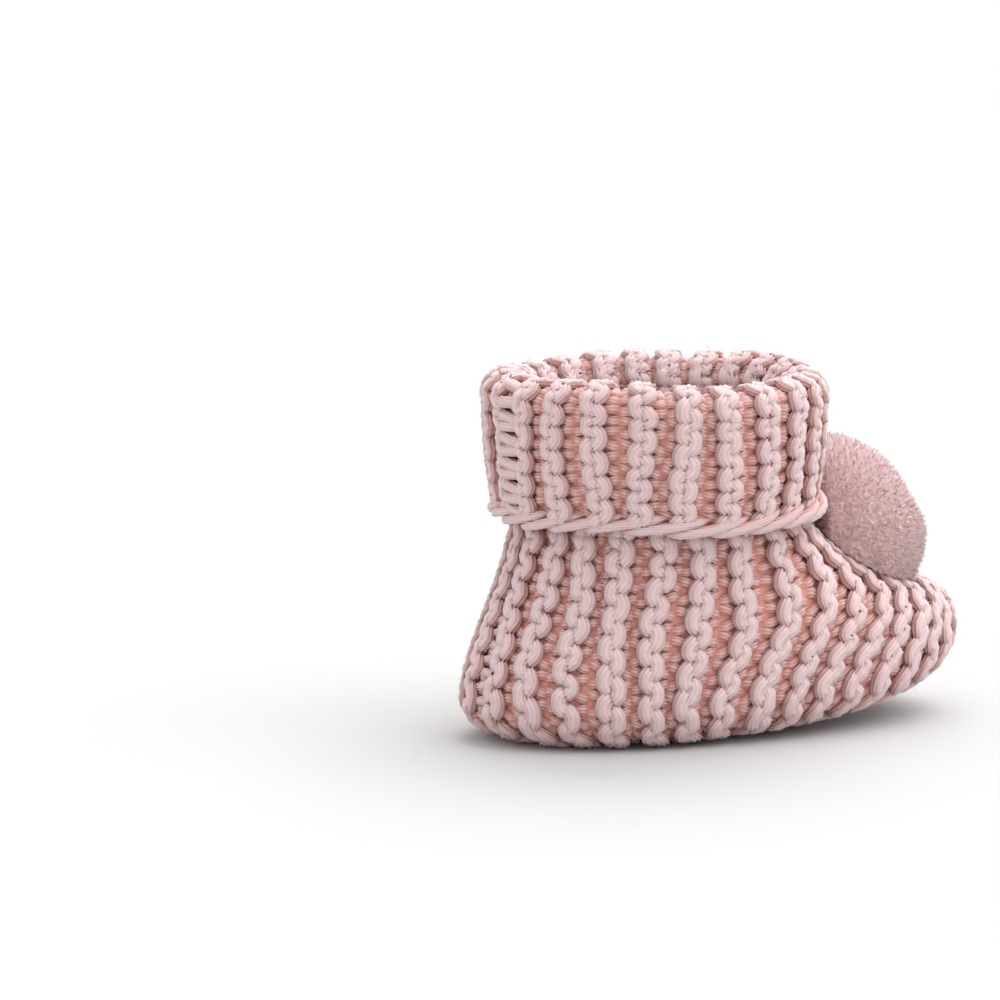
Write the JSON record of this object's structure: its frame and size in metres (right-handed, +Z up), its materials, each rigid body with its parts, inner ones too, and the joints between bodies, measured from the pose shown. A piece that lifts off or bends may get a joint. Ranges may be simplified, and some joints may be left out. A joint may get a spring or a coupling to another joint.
{
  "type": "baby bootie",
  "caption": "Knitted baby bootie in garter stitch with a turned-down cuff and a soft pom-pom on the toe.",
  "frame": {"origin": "under the middle of the bootie, on the surface that it stands on", "axes": "+X from the heel to the toe, +Y to the wearer's left, +Z up"},
  "size_m": [0.1006, 0.064, 0.0652],
  "materials": {
    "knit": "soft matt garter stitch",
    "edge_yarn": "soft matt plied yarn",
    "seam_yarn": "soft matt plied yarn",
    "pile": "short dense plush pile",
    "tie_yarn": "soft matt plied yarn"
  },
  "bodies": {
    "root": {"knit_foot": "knit", "knit_ankle": "knit", "heel_seam_yarn": "seam_yarn", "sole_seam_yarn": "seam_yarn", "instep_seam_yarn": "seam_yarn", "sole_gather_thread": "seam_yarn", "toe_gather_thread": "seam_yarn", "tie_knot": "tie_yarn"},
    "cuff": {"knit_cuff": "knit", "cuff_chain_edge": "edge_yarn", "cuff_seam_yarn": "seam_yarn"},
    "tie": {"pompom_tie": "tie_yarn"},
    "pompom": {"pompom_pile": "pile", "pompom_binding": "tie_yarn"}
  },
  "joints": [
    {"name": "cuff_lift", "type": "slide", "parent": "root", "child": "cuff", "axis": [0, 0, 1], "range_m": [0, 0.008]},
    {"name": "pompom_sway", "type": "hinge", "parent": "root", "child": "tie", "pos_m": [0.0265, 0, 0.026], "axis": [1, 0, 0], "range_deg": [-8, 8], "stiffness_Nm_per_rad": 0.03},
    {"name": "pompom_nod", "type": "hinge", "parent": "tie", "child": "pompom", "pos_m": [0.0265, 0, 0.026], "axis": [0, 1, 0], "range_deg": [0, 10], "stiffness_Nm_per_rad": 0.03}
  ]
}
